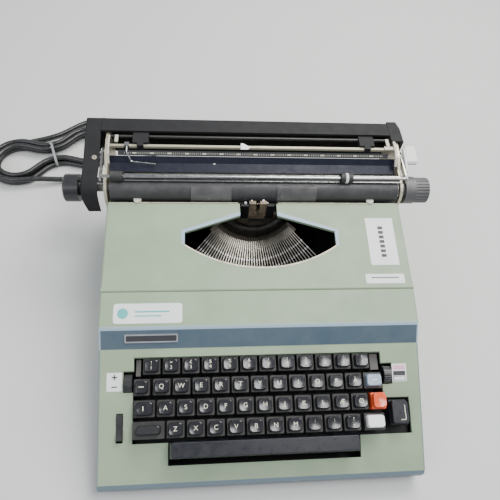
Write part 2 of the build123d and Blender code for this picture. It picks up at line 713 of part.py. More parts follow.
arm_left, arm_right = (-167.6, -165.8), (166.2, 168.0)
arm_outline = [(279, 138.4), (287, 137.2), (316, 136.6), (322, 138.6), (322, 143.6), (316, 145), (287, 143.6),
               (281, 143.8)]
roller_spots = (-149.5, 98.5)
with BuildPart() as paper_bail:
    rod((arm_left[0], arm_right[1]), bail_y, bail_z, 1.7)
    for low_x, high_x in ((-142, 91), (106, 160)):
        with BuildSketch(section(low_x)):
            with BuildLine():
                Polyline((279.5, 138), (287.2, 140.2), (286.8, 141.6), (279.1, 139.4), close=True)
            make_face()
        extrude(amount=high_x - low_x)
    for arm in (arm_left, arm_right):
        with BuildSketch(section(arm[0])):
            with BuildLine():
                Polyline(*arm_outline, close=True)
            make_face()
            with Locations((bail_pivot_y, bail_pivot_z)):
                Circle(1.5 + fit, mode=Mode.SUBTRACT)
        extrude(amount=arm[1] - arm[0])
save(paper_bail, "paper_bail")

with BuildPart() as bail_rollers:
    for roll_x in roller_spots:
        rod((roll_x - 6.5, roll_x + 6.5), bail_y, bail_z, 5.5)
        rod((roll_x - 7, roll_x + 7), bail_y, bail_z, 1.7 + fit, Mode.SUBTRACT)
save(bail_rollers, "bail_rollers")

release_y, release_z = 297.0, 141.5
with BuildPart() as paper_release_lever:
    with BuildSketch(section(168.9)):
        with BuildLine():
            Polyline((293, 138.4), (301, 138.4), (323, 147), (321, 150.6), (298, 145.4),
                     (293, 143), close=True)
        make_face()
    extrude(amount=2)
    with BuildSketch(section(170.9)):
        with BuildLine():
            Polyline((303, 144.8), (304.5, 147.2), (323, 152), (325, 148.4), (323, 146.6),
                     (304, 141.8), close=True)
        make_face()
    extrude(amount=12)
    rod((168.9, 171.6), release_y, release_z, 2.4)
save(paper_release_lever, "paper_release_lever")

# ---------------------------------------------------------------- cord
exit_x, exit_z = -120.0, 34.0
gland_end = back_y + 30
with BuildPart() as cord_gland:
    with BuildSketch(Plane(origin=spot(exit_x, back_y - wall - 2, exit_z), z_dir=(0, 1, 0))):
        Circle(6.3)
    extrude(amount=wall + 2)
    with BuildSketch(Plane(origin=spot(exit_x, back_y, exit_z), z_dir=(0, 1, 0))):
        Circle(8)
    with BuildSketch(Plane(origin=spot(exit_x, gland_end, exit_z), z_dir=(0, 1, 0))):
        Circle(4.6)
    loft()
save(cord_gland, "cord_gland")


def cord_tube(name, route):
    """Round tube on straight runs joined by tangent arcs, each as large as its runs allow."""
    points = [Vector(*spot(*p)) for p in route]
    radii = []
    for before, here, after in zip(points, points[1:], points[2:]):
        turn = (here - before).get_angle(after - here)
        shorter = min((here - before).length, (after - here).length)
        radii.append(0.45 * shorter / tan(radians(turn) / 2))
    with BuildPart() as tube:
        with BuildLine() as path:
            FilletPolyline(*points, radius=radii)
        with BuildSketch(Plane(origin=points[0], z_dir=points[1] - points[0])):
            Circle(cord_d / 2)
        sweep()
    length = sum(edge.length for edge in path.edges())
    ratio = tube.part.volume / (length * pi * cord_d ** 2 / 4)
    print(name, "length", round(length), "volume ratio", round(ratio, 3), "radii", [round(r) for r in radii])
    return tube.part


# The lead runs from the gland down to the table and round to the hank, the tail on to the plug.
lead_route = [
    (exit_x, gland_end, exit_z), (-120, 398, 33), (-124, 420, 24), (-130, 444, 12), (-137, 468, cord_z),
    (-150, 490, cord_z + 0.4), (-170, 505, cord_z), (-192, 513, cord_z + 0.4), (-213, 515, cord_z),
    (-234, 507, cord_z + 0.2), (-251, 493, cord_z), (-270, 478, cord_z + 0.1), (-308, 465, cord_z),
]
tail_route = [
    (-283, 392, 10.5), (-262, 393.5, 7.5), (-240, 396, 4.6), (-218, 397.5, cord_z), (-199, 396, cord_z),
    (-184, 392, 5.4), (-171, 388.4, 7.4),
]
with BuildPart() as cord_lead:
    add(cord_tube("lead", lead_route))
    add(cord_tube("tail", tail_route))
save(cord_lead, "cord_lead")

# The hank is a bundle pinched in its middle, two lobes and the neck between them.
hank_x, hank_y, hank_turn = -266.0, 440.0, 17.7
lobe_reach, lobe_radii, neck_width, hank_height = 48.6, (42.0, 38.5), 38.0, 14.9
with BuildPart() as cord_hank:
    with BuildSketch(level(0.5)):
        for side, lobe_r in zip((-lobe_reach, lobe_reach), lobe_radii):
            lobe_x = hank_x + side * cos(radians(hank_turn))
            lobe_y = hank_y + side * sin(radians(hank_turn))
            with Locations((lobe_x, lobe_y)):
                Circle(lobe_r)
        with Locations((hank_x, hank_y)):
            Rectangle(2 * lobe_reach, neck_width, rotation=hank_turn)
    extrude(amount=hank_height)
save(cord_hank, "cord_hank")

# Flat two-pin plug, lying on the table at the end of the tail.
plug_start = Vector(*spot(*tail_route[-1]))
plug_way = plug_start - Vector(*spot(*tail_route[-2]))
plug_way = Vector(plug_way.X, plug_way.Y, 0).normalized()
plug_back = Plane(origin=plug_start, x_dir=plug_way.cross(Vector(0, 0, 1)), z_dir=plug_way)
with BuildPart() as plug:
    with BuildSketch(plug_back):
        Circle(4.4)
    with BuildSketch(plug_back.offset(12)):
        RectangleRounded(24, 13, 4)
    loft()
    with BuildSketch(plug_back.offset(12)):
        RectangleRounded(24, 13, 4)
    with BuildSketch(plug_back.offset(27)):
        RectangleRounded(34, 13.6, 5)
    loft()
    with BuildSketch(plug_back.offset(27)):
        with Locations((-9.5, 0), (9.5, 0)):
            Circle(2)
    extrude(amount=19)
save(plug, "plug")
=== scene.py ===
import bpy
import json
from math import atan, atan2, cos, pi, radians, sin, sqrt
from mathutils import Matrix, Vector

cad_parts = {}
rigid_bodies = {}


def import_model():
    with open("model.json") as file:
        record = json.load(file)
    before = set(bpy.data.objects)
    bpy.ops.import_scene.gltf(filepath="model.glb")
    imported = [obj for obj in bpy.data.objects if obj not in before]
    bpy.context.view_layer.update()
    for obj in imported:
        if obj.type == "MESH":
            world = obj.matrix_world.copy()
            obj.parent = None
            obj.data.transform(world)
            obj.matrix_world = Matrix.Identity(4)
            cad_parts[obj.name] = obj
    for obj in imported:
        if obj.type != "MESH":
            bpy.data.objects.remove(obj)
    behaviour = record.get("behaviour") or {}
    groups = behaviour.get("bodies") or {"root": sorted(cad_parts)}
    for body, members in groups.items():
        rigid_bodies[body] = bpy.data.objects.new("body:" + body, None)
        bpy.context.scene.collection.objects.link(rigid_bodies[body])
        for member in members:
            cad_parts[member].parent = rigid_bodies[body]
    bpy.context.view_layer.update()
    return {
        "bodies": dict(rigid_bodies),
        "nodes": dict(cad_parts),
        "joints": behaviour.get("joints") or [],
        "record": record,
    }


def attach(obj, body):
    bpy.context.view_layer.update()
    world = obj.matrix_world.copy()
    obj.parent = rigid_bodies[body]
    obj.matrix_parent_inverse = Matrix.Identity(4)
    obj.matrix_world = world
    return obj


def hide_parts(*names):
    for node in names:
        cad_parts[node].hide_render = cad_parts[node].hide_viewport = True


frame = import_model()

# ---------------------------------------------------------------- frame of the machine
MID_X, FRONT_Y = 5.0, -179.75
KEY_SLOPE, DECK_SLOPE = radians(14), atan(54 / 113)
BAND_SLOPE, STRIP_SLOPE, COVER_SLOPE = atan(14 / 17.5), atan(8 / 34), atan(16 / 100.9)
ROW_STARTS, ROW_DEPTHS, PITCH = (-110.1, -100.1, -95.9, -86.4), (97.5, 78.4, 59.1, 40.4), 19.05


def at(x, y, z):
    """Point of the machine in millimetres, as metres in the row's frame."""
    return Vector(((x + MID_X) / 1000, (y + FRONT_Y) / 1000, z / 1000))


def tilted(x, y, z, slope=0.0, lift=0.0, turn=0.0):
    """Frame at a point of the machine, tipped back by slope and turned in its own plane."""
    tip = Matrix.Translation(at(x, y, z)) @ Matrix.Rotation(slope, 4, "X")
    return tip @ Matrix.Translation((0, 0, lift / 1000)) @ Matrix.Rotation(turn, 4, "Z")


def key_frame(x, y, lift=0.0):
    return tilted(x, y, 79.1 - (97.5 - y) * sin(KEY_SLOPE) / cos(KEY_SLOPE), KEY_SLOPE, lift)


def deck_frame(x, y, lift=0.0, turn=0.0):
    return tilted(x, y, 28 + y * 54 / 113, DECK_SLOPE, lift, turn)


def band_frame(x, y, lift=0.0):
    return tilted(x, y, 82 + (y - 113) * 14 / 17.5, BAND_SLOPE, lift)


def strip_frame(x, y, lift=0.0, turn=0.0):
    return tilted(x, y, 96 + (y - 130.5) * 8 / 34, STRIP_SLOPE, lift, turn)


def cover_frame(x, y, lift=0.0, turn=0.0):
    return tilted(x, y, 104 + (y - 164.5) * 16 / 100.9, COVER_SLOPE, lift, turn)


# ---------------------------------------------------------------- materials
class Nodes:
    """A material's node tree, with short ways to make and join its nodes."""

    def __init__(self, name):
        self.mat = bpy.data.materials.new(name)
        self.mat.use_nodes = True
        self.tree = self.mat.node_tree
        self.shader = self.tree.nodes["Principled BSDF"]
        self.place = self.tree.nodes.new("ShaderNodeTexCoord").outputs["Object"]

    def add(self, kind, **settings):
        node = self.tree.nodes.new("ShaderNode" + kind)
        for key, value in settings.items():
            setattr(node, key, value)
        return node

    def join(self, source, target):
        self.tree.links.new(source, target)

    def feed(self, socket, value):
        if isinstance(value, bpy.types.NodeSocket):
            self.join(value, socket)
        else:
            socket.default_value = value

    def noise(self, scale, detail=3.0, stretch=None, rough=0.5):
        node = self.add("TexNoise")
        node.inputs["Scale"].default_value = scale
        node.inputs["Detail"].default_value = detail
        node.inputs["Roughness"].default_value = rough
        source = self.place
        if stretch:
            mapping = self.add("Mapping")
            mapping.inputs["Scale"].default_value = stretch
            self.join(source, mapping.inputs["Vector"])
            source = mapping.outputs["Vector"]
        self.join(source, node.inputs["Vector"])
        return node.outputs["Fac"]

    def ramp(self, value, low, high, start=0.0, end=1.0):
        node = self.add("MapRange")
        for key, number in (("From Min", low), ("From Max", high), ("To Min", start), ("To Max", end)):
            node.inputs[key].default_value = number
        self.join(value, node.inputs["Value"])
        return node.outputs["Result"]

    def math(self, kind, a, b=0.0):
        node = self.add("Math", operation=kind)
        self.feed(node.inputs[0], a)
        self.feed(node.inputs[1], b)
        return node.outputs["Value"]

    def mix(self, factor, a, b):
        node = self.add("Mix", data_type="RGBA")
        self.feed(node.inputs[0], factor)
        self.feed(node.inputs[6], a)
        self.feed(node.inputs[7], b)
        return node.outputs[2]

    def axes(self):
        node = self.add("SeparateXYZ")
        self.join(self.place, node.inputs["Vector"])
        return node.outputs["X"], node.outputs["Y"], node.outputs["Z"]

    def within(self, value, low, high, soft=0.0003):
        """1 where value lies between low and high, 0 elsewhere."""
        above = self.ramp(value, low - soft, low + soft)
        below = self.ramp(value, high - soft, high + soft, 1.0, 0.0)
        return self.math("MULTIPLY", above, below)

    def upward(self):
        node = self.add("SeparateXYZ")
        self.join(self.add("NewGeometry").outputs["Normal"], node.inputs["Vector"])
        return self.ramp(node.outputs["Z"], 0.2, 0.9)


def rgb(*value):
    return (*value, 1.0)


def finish(n, colour, rough, metal=0.0, vary=0.12, dust=0.0, dust_colour=(0.32, 0.31, 0.29),
           grain=(900, 0.05), coat=0.0, wear=40, shine=0.5):
    """Common surface: patchy colour and roughness, settled dust and a fine grain."""
    patch = n.noise(wear, 4)
    if not isinstance(colour, bpy.types.NodeSocket):
        colour = n.mix(n.ramp(patch, 0.3, 0.7), rgb(*[c * (1 - vary) for c in colour]),
                       rgb(*[min(1, c * (1 + vary)) for c in colour]))
    roughness = n.ramp(n.noise(wear * 3, 3), 0.3, 0.7, max(0.04, rough - 0.06), min(1, rough + 0.08))
    if dust:
        cloud = n.ramp(n.noise(wear * 1.7, 5, rough=0.65), 0.35, 0.75, 0.15, 1.0)
        film = n.math("MULTIPLY", n.upward(), cloud)
        film = n.math("MULTIPLY", film, dust)
        colour = n.mix(film, colour, rgb(*dust_colour))
        roughness = n.math("ADD", roughness, n.math("MULTIPLY", film, 0.5))
    n.join(colour, n.shader.inputs["Base Color"])
    n.join(roughness, n.shader.inputs["Roughness"])
    n.shader.inputs["Metallic"].default_value = metal
    n.shader.inputs["Coat Weight"].default_value = coat
    n.shader.inputs["Specular IOR Level"].default_value = shine
    bump = n.add("Bump")
    bump.inputs["Strength"].default_value = grain[1]
    bump.inputs["Distance"].default_value = 0.0005
    n.join(n.noise(grain[0], 2), bump.inputs["Height"])
    n.join(bump.outputs["Normal"], n.shader.inputs["Normal"])
    return n.mat


def plain(name, colour, rough, **how):
    return finish(Nodes(name), colour, rough, **how)


# PALE_HIGHLIGHT is a painted highlight colour: the light on rounded and chamfered edges of the case, painted
# in as pale blue.
GREEN, SLATE, PALE_HIGHLIGHT = (0.262, 0.34, 0.222), (0.05, 0.084, 0.116), (0.32, 0.43, 0.52)


def case_paint(name, banded):
    """Sage green moulding, with the slate band across the front shell."""
    n = Nodes(name)
    patch = n.noise(22, 5)
    colour = n.mix(n.ramp(patch, 0.3, 0.7), rgb(*[c * 0.92 for c in GREEN]), rgb(*[c * 1.08 for c in GREEN]))
    if banded:
        x, y, z = n.axes()
        low, high = (113 + FRONT_Y) / 1000, (130.5 + FRONT_Y) / 1000
        face = n.math("SUBTRACT", z, n.math("MULTIPLY", n.math("SUBTRACT", y, low), 0.8))
        on_face = n.ramp(face, 0.0795, 0.0805)
        band = n.math("MULTIPLY", n.within(y, low + 0.0004, high + 0.0004), on_face)
        colour = n.mix(band, colour, rgb(*SLATE))
        side = n.ramp(n.math("ABSOLUTE", n.math("SUBTRACT", x, MID_X / 1000)), 0.1586, 0.1591)
        # Painted highlight: the pale-blue rim along the band's rounded top edge and its side edges stands in
        # for the light on those edges.
        upper_rim_highlight = n.within(y, high - 0.0024, high + 0.0005)
        edge = n.math("MULTIPLY", n.math("MAXIMUM", upper_rim_highlight, n.math("MULTIPLY", side, band)), on_face)
        colour = n.mix(edge, colour, rgb(*PALE_HIGHLIGHT))
        lip = n.ramp(y, (FRONT_Y - 0.3) / 1000, (FRONT_Y + 0.3) / 1000, 1.0, 0.0)
        deck_side = n.math("MULTIPLY", side, n.ramp(y, low - 0.0004, low, 0.55, 0.0))
        colour = n.mix(n.math("MAXIMUM", lip, deck_side), colour, rgb(0.13, 0.185, 0.22))
    spots = n.ramp(n.noise(420, 2), 0.74, 0.8)
    colour = n.mix(n.math("MULTIPLY", spots, 0.35), colour, rgb(0.2, 0.2, 0.16))
    return finish(n, colour, 0.5, dust=0.1, dust_colour=(0.42, 0.44, 0.36), grain=(1500, 0.1), wear=25)


def key_paint(name, cap, skirt, right_cap=None, rough=0.16):
    """Polished cap above a dull skirt, parted by height over the tilted key tops."""
    n = Nodes(name)
    x, y, z = n.axes()
    cap = rgb(*cap)
    if right_cap:
        cap = n.mix(n.ramp(x, 0.0, 0.001), cap, rgb(*right_cap))
    lift = n.math("ADD", n.math("MULTIPLY", y, -sin(KEY_SLOPE)), n.math("MULTIPLY", z, cos(KEY_SLOPE)))
    top = 0.0791 * cos(KEY_SLOPE) - (97.5 + FRONT_Y) / 1000 * sin(KEY_SLOPE)
    above = n.ramp(lift, top - 0.0061, top - 0.0058)
    patch = n.noise(130, 4)
    dull = n.mix(n.ramp(patch, 0.3, 0.7), rgb(*[c * 0.7 for c in skirt]), rgb(*[c * 1.3 for c in skirt]))
    colour = n.mix(above, dull, cap)
    rough = n.math("ADD", n.ramp(above, 0, 1, 0.55, rough), n.ramp(n.noise(300, 3), 0.3, 0.7, 0.0, 0.06))
    n.join(colour, n.shader.inputs["Base Color"])
    n.join(rough, n.shader.inputs["Roughness"])
    bump = n.add("Bump")
    bump.inputs["Strength"].default_value = 0.04
    bump.inputs["Distance"].default_value = 0.0004
    n.join(n.noise(700, 2), bump.inputs["Height"])
    n.join(bump.outputs["Normal"], n.shader.inputs["Normal"])
    return n.mat


green_banded = case_paint("case_green_banded", True)
green = case_paint("case_green_plain", False)
# Painted light: this pale blue stands in for the light on sloping chamfers.
pale_blue_chamfer_light = plain("pale_blue_edge", PALE_HIGHLIGHT, 0.4, vary=0.06)
cream_edge = plain("cream_edge", (0.62, 0.58, 0.42), 0.5, vary=0.3, wear=150)
black = plain("black_moulding", (0.017, 0.017, 0.018), 0.5, dust=0.12,
              dust_colour=(0.06, 0.058, 0.056), shine=0.15)
black_smooth = plain("black_polished", (0.016, 0.016, 0.018), 0.2, dust=0.08)
grey_black = plain("grey_black_moulding", (0.06, 0.06, 0.063), 0.36, dust=0.35)
rubber = plain("rubber_black", (0.018, 0.018, 0.018), 0.55, dust=0.2, dust_colour=(0.15, 0.14, 0.13), wear=60)
platen_rubber = plain("platen_rubber", (0.035, 0.035, 0.036), 0.36, dust=0.5,
                      dust_colour=(0.12, 0.118, 0.115), wear=60)
steel = plain("steel_worn", (0.42, 0.41, 0.39), 0.34, metal=1.0, vary=0.2, wear=90)
steel_dark = plain("steel_dark", (0.2, 0.19, 0.175), 0.42, metal=0.9, vary=0.3, wear=120)
chrome = plain("chrome_plate", (0.4, 0.4, 0.39), 0.2, metal=1.0, vary=0.1, wear=70)
zinc = plain("zinc_cream", (0.55, 0.5, 0.38), 0.4, metal=0.65, vary=0.2, wear=80)
cream = plain("cream_enamel", (0.55, 0.53, 0.44), 0.45, vary=0.15, wear=120)
rods = Nodes("margin_rods")
rear_rod = rods.ramp(rods.axes()[1], 0.1498, 0.1502)
rod_colour = rods.mix(rear_rod, rgb(0.42, 0.39, 0.29), rgb(0.05, 0.048, 0.045))
rod_paint = finish(rods, rod_colour, 0.4, metal=0.4, wear=120)
navy = plain("navy_enamel", (0.01, 0.012, 0.024), 0.38, dust=0.12,
             dust_colour=(0.1, 0.105, 0.12), wear=70, shine=0.2)
cast = plain("segment_metal", (0.3, 0.26, 0.2), 0.42, metal=0.8, vary=0.35, wear=110)
guide = Nodes("guide_metal")
guide_across = guide.math("ABSOLUTE", guide.math("SUBTRACT", guide.axes()[0], 0.0065))
guide_side = guide.ramp(guide_across, 0.0094, 0.0097)
guide_cloud = guide.ramp(guide.noise(160, 4), 0.3, 0.7)
guide_tint = guide.mix(guide_cloud, rgb(0.14, 0.11, 0.075), rgb(0.32, 0.25, 0.17))
guide_colour = guide.mix(guide_side, guide_tint, rgb(0.015, 0.015, 0.016))
brown_metal = finish(guide, guide_colour, 0.45, metal=0.35, wear=160)
aluminium = plain("aluminium_satin", (0.55, 0.55, 0.56), 0.35, metal=0.9, vary=0.08)
white = plain("white_plastic", (0.74, 0.74, 0.71), 0.42, vary=0.06, dust=0.15)
paper = plain("paper_white", (0.78, 0.79, 0.77), 0.6, vary=0.04, wear=60)
ink = plain("ink_black", (0.03, 0.03, 0.035), 0.5)
legend = plain("legend_cream", (0.72, 0.7, 0.55), 0.4, vary=0.05)
pink = plain("label_pink", (0.75, 0.42, 0.5), 0.55, vary=0.05)
teal = plain("label_teal", (0.1, 0.42, 0.42), 0.55, vary=0.05)
grey = plain("label_grey", (0.045, 0.045, 0.05), 0.5, vary=0.06)
grey_light = plain("strip_grey", (0.07, 0.066, 0.062), 0.6, dust=0.12)
pvc = plain("cord_pvc", (0.014, 0.014, 0.015), 0.27, vary=0.1, dust=0.1, wear=90)
tie_grey = plain("tie_grey", (0.3, 0.3, 0.31), 0.5)
smoked = plain("smoked_plastic", (0.12, 0.115, 0.115), 0.22, metal=0.35, vary=0.25, wear=60)
blue_key = key_paint("key_blue_grey", (0.26, 0.32, 0.4), (0.03, 0.028, 0.026))
red_key = key_paint("key_red", (0.75, 0.1, 0.03), (0.6, 0.07, 0.02))
dark_key = key_paint("key_black", (0.014, 0.014, 0.017), (0.019, 0.018, 0.017))
shift_paint = key_paint("key_shift", (0.012, 0.012, 0.013), (0.019, 0.018, 0.017), (0.85, 0.85, 0.85), 0.3)
bar_paint = plain("space_bar_black", (0.01, 0.011, 0.016), 0.3, dust=0.05, wear=60, shine=0.3)
bar_metal = plain("typebar_metal", (0.27, 0.25, 0.215), 0.32, metal=0.95, vary=0.3, wear=140)

finishes = {
    green_banded: ("front_shell",), green: ("top_cover",),
    black: ("base_pan", "left_end_cover", "right_end_cap", "rear_cover", "keyboard_plate", "margin_stop_left",
            "margin_stop_right", "ribbon_spool_left", "ribbon_spool_right", "motor_pulley"),
    black_smooth: ("knob_left", "power_switch", "impression_wheel", "selector_wheel", "plug"),
    grey_black: ("knob_right",),
    platen_rubber: ("platen",),
    rubber: ("feet", "feed_roller_front", "feed_roller_rear", "bail_rollers", "power_roller", "drive_belt",
             "type_rest", "cord_gland"),
    steel: ("carriage_rails", "platen_shaft", "mainspring_drum", "motor", "escapement_rack", "ratchet_wheel"),
    steel_dark: ("side_plates", "ribbon_brackets", "ribbon_vibrator"), chrome: ("paper_bail", "paper_guide"),
    zinc: ("carriage_frame",), rod_paint: ("margin_rack",), navy: ("paper_table",), cast: ("type_segment",),
    brown_metal: ("type_guide",), aluminium: ("name_plate",), smoked: ("card_holders",),
    white: ("paper_release_lever",), blue_key: ("tab_key",), red_key: ("correction_key",),
    dark_key: ("keys_row_1", "keys_row_2", "keys_row_3", "keys_row_4"), shift_paint: ("shift_keys",),
    bar_paint: ("space_bar", "return_key"),
    bar_metal: ("typebars", "typebar_middle"), grey: ("scale_strip",),
    pvc: ("cord_lead", "cord_hank"),
}
for material, nodes in finishes.items():
    for name in nodes:
        mesh = bpy.data.objects[name].data
        mesh.materials.clear()
        mesh.materials.append(material)

# ---------------------------------------------------------------- shapes
def keep(obj, material, body):
    if isinstance(material, bpy.types.Material):
        obj.data.materials.append(material)
    bpy.context.scene.collection.objects.link(obj)
    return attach(obj, body)


def solid(name, points, faces, material, body, smooth=False):
    mesh = bpy.data.meshes.new(name)
    mesh.from_pydata(points, [], faces)
    mesh.validate()
    mesh.update()
    if smooth:
        mesh.shade_smooth()
    return keep(bpy.data.objects.new(name, mesh), material, body)


def prism(outline, low, high, frame):
    """Points and faces of an upright prism on a frame; outline and heights in millimetres."""
    count = len(outline)
    points = [frame @ Vector((x / 1000, y / 1000, h / 1000)) for h in (low, high) for x, y in outline]
    faces = [tuple(range(count - 1, -1, -1)), tuple(range(count, 2 * count))]
    faces += [(i, (i + 1) % count, count + (i + 1) % count, count + i) for i in range(count)]
    return points, faces


def merged(parts):
    """Several prisms as the points and faces of one mesh."""
    points, faces = [], []
    for part_points, part_faces in parts:
        start = len(points)
        points += part_points
        faces += [tuple(start + i for i in face) for face in part_faces]
    return points, faces


def plate(width, depth, corner=0.0, steps=5, x=0.0, y=0.0):
    """Outline of a rectangle with rounded corners."""
    if not corner:
        return [(x + sx * width / 2, y + sy * depth / 2) for sx, sy in ((-1, -1), (1, -1), (1, 1), (-1, 1))]
    outline = []
    for sx, sy, start in ((1, 1, 0), (-1, 1, 90), (-1, -1, 180), (1, -1, 270)):
        for step in range(steps + 1):
            turn = radians(start + 90 * step / steps)
            outline.append((x + sx * (width / 2 - corner) + corner * cos(turn),
                            y + sy * (depth / 2 - corner) + corner * sin(turn)))
    return outline


def ring(radius, steps=24, x=0.0, y=0.0):
    turns = [2 * pi * i / steps for i in range(steps)]
    return [(x + radius * cos(turn), y + radius * sin(turn)) for turn in turns]


def side_prism(outline, xs):
    """Prism whose outline is seen from the side (y, z in millimetres), from xs[0] to xs[1]."""
    count = len(outline)
    points = [at(x, y, z) for x in xs for y, z in outline]
    faces = [tuple(range(count)), tuple(range(2 * count - 1, count - 1, -1))]
    faces += [(i, count + i, count + (i + 1) % count, (i + 1) % count) for i in range(count)]
    return points, faces


def wire(name, points, radius, material, body, smooth=False, resolution=4):
    """Round wire through points of the machine, in millimetres."""
    curve = bpy.data.curves.new(name, "CURVE")
    curve.dimensions = "3D"
    curve.bevel_depth = radius / 1000
    curve.bevel_resolution = resolution
    curve.use_fill_caps = True
    line = curve.splines.new("NURBS" if smooth else "POLY")
    line.points.add(len(points) - 1)
    for point, place in zip(line.points, points):
        point.co = (*at(*place), 1.0)
    if smooth:
        line.order_u = 3
        line.use_endpoint_u = True
        line.resolution_u = 8
    return keep(bpy.data.objects.new(name, curve), material, body)


def letters(text, size, frame, dish=None):
    """Points and faces of flat lettering, centred on a frame; on a key it follows the key's hollow."""
    curve = bpy.data.curves.new("lettering", "FONT")
    curve.body = text
    curve.size = size / 1000
    curve.align_x = "CENTER"
    curve.align_y = "CENTER"
    curve.offset = -size / 1000 * 0.004
    holder = bpy.data.objects.new("lettering", curve)
    bpy.context.scene.collection.objects.link(holder)
    bpy.context.view_layer.update()
    mesh = bpy.data.meshes.new_from_object(holder.evaluated_get(bpy.context.evaluated_depsgraph_get()))
    local = [v.co.copy() for v in mesh.vertices]
    faces = [tuple(p.vertices) for p in mesh.polygons]
    bpy.data.objects.remove(holder)
    bpy.data.curves.remove(curve)
    bpy.data.meshes.remove(mesh)
    points = []
    for v in local:
        rise = 0.06
        if dish:
            across, along = v.x * 1000 + dish[0], v.y * 1000 + dish[1]
            rise = 40 - 0.5 - sqrt(40 ** 2 - across ** 2 - along ** 2) + 0.06
        points.append(frame @ Vector((v.x, v.y, rise / 1000)))
    return points, faces


# ---------------------------------------------------------------- keys' lettering
ROWS = (
    ("! 1", '= 2', "£ 3", "$ 4", "% 5", "& 6", "/ 7", "( 8", ") 9", "_ 0", "` +", "^ '"),
    ("Q", "W", "E", "R", "T", "Y", "U", "I", "O", "P", "Å"),
    ("A", "S", "D", "F", "G", "H", "J", "K", "L", "Æ", "Ø"),
    ("Z", "X", "C", "V", "B", "N", "M", "; ,", ": .", "? -"),
)
for row, signs in enumerate(ROWS):
    parts = []
    for column, sign in enumerate(signs):
        x, y = ROW_STARTS[row] + column * PITCH, ROW_DEPTHS[row]
        if " " in sign:
            for mark, dy in zip(sign.split(), (2.7, -2.1)):
                place = key_frame(x, y) @ Matrix.Translation((0, dy / 1000, 0))
                parts.append(letters(mark, 4.6, place, (0, dy)))
        else:
            parts.append(letters(sign, 6.2, key_frame(x, y), (0, 0)))
    if row == 1:
        parts.append(prism(plate(5.0, 0.8), -0.6, -0.36, key_frame(-119.1, ROW_DEPTHS[1])))
    if row == 2:
        parts.append(prism(plate(0.8, 4.4, x=-0.6), -0.6, -0.36, key_frame(-116.3, ROW_DEPTHS[2])))
    solid(f"signs_row_{row + 1}", *merged(parts), legend, f"keys_row_{row + 1}")

arrow = [prism(plate(0.6, 14, x=4.6, y=-0.6), -0.1, 0.08, key_frame(134.0, 48.0, -3.0)),
         prism(plate(5.4, 0.6, x=2.2, y=-7.3), -0.1, 0.08, key_frame(134.0, 48.0, -3.0))]
solid("return_sign", *merged(arrow), legend, "return_key")
solid("tab_sign", *prism(plate(5.0, 0.8), -0.1, 0.08, key_frame(110.0, ROW_DEPTHS[1])), paper, "tab_key")
solid("correction_sign", *letters("X", 4.6, key_frame(113.0, ROW_DEPTHS[2], 2.0), (0, 0)), cream,
      "correction_key")

# ---------------------------------------------------------------- labels and plates on the case
strips = [prism(plate(4.6, 16), -12.5, -9.5, key_frame(-123.1, 96.5)),
          prism(plate(8.4, 16), -12.5, -9.5, key_frame(114.2, 96.5))]
solid("row_end_strips", *merged(strips), grey_light, "machine")

solid("label_left", *prism(plate(14.6, 17.6, 0.8), 0, 0.3, deck_frame(-145.4, 85.6)), paper, "machine")
marks = [prism(plate(5.2, 1.2, y=4.4), 0.25, 0.36, deck_frame(-145.4, 85.6)),
         prism(plate(1.2, 5.2, y=4.4), 0.25, 0.37, deck_frame(-145.4, 85.6)),
         prism(plate(5.2, 1.2, y=-4.6), 0.25, 0.36, deck_frame(-145.4, 85.6))]
solid("label_left_marks", *merged(marks), ink, "machine")
solid("label_right", *prism(plate(15.0, 17.6, 0.8), 0, 0.3, deck_frame(138.8, 86.7)), paper, "machine")
solid("label_right_pink", *prism(plate(12.6, 4.6, y=5.2), 0.25, 0.36, deck_frame(138.8, 86.7)), pink,
      "machine")
label_lines = [prism(plate(12.6, 0.6, y=o), 0.25, 0.36, deck_frame(138.8, 86.7)) for o in (-3.6, -7.6)]
label_lines += [prism(plate(0.6, 4.6, x=o, y=-5.6), 0.25, 0.35, deck_frame(138.8, 86.7)) for o in (-6.0, 6.0)]
solid("label_right_lines", *merged(label_lines), ink, "machine")
solid("label_right_grey", *prism(plate(12.6, 4.4, y=-0.6), 0.25, 0.36, deck_frame(138.8, 86.7)), grey,
      "machine")

sticker = strip_frame(-113.7, 143.6)
solid("sticker_white", *prism(plate(67, 20, 3), 0, 0.25, sticker), paper, "machine")
solid("sticker_mark", *prism(ring(5.2, 28, -24.5), 0.2, 0.32, sticker), teal, "machine")
solid("sticker_line", *merged([prism(plate(34, 1.5, 0.6, x=4, y=1.6), 0.2, 0.32, sticker),
                               prism(plate(26, 1.2, 0.5, x=0, y=-2.6), 0.2, 0.32, sticker)]), teal, "machine")

plate_at = band_frame(-110.2, 121.7)
solid("name_panel", *prism(plate(48.6, 5.6, 0.6), 0.9, 1.12, plate_at), ink, "machine")

solid("label_serial", *prism(plate(31, 56, 1), 0, 0.25, cover_frame(134.5, 219)), paper, "top_cover")
bars = [prism(plate(5.5, h, x=0, y=o), 0.2, 0.3, cover_frame(134.5, 219))
        for o, h in ((-17, 3.6), (-11.5, 3.6), (-6, 3.6), (-0.5, 3.6), (5, 3.6), (10.5, 3.6), (16, 3.6))]
solid("label_serial_bars", *merged(bars), ink, "top_cover")
solid("label_small", *prism(plate(42, 10.5, 1), 0, 0.25, cover_frame(131.6, 176)), paper, "top_cover")
solid("label_small_bar", *prism(plate(30, 1.1, y=1.2), 0.2, 0.3, cover_frame(131.6, 176)), grey, "top_cover")

# ---------------------------------------------------------------- edges of the fan-shaped opening
FAN = [(-78.4, 216.3), (-78.4, 230), (-18.9, 249.8)]
FAN_OUT = [(-82.0, 215.0), (-82.0, 232.2), (-18.9, 254.4)]
FAN_R = [(83.5, 214.8), (83.5, 231), (21.7, 249.8)]
FAN_R_OUT = [(87.0, 213.4), (87.0, 233.2), (21.7, 254.4)]


def on_cover(x, y, lift):
    return cover_frame(x, y, lift) @ Vector((0, 0, 0))


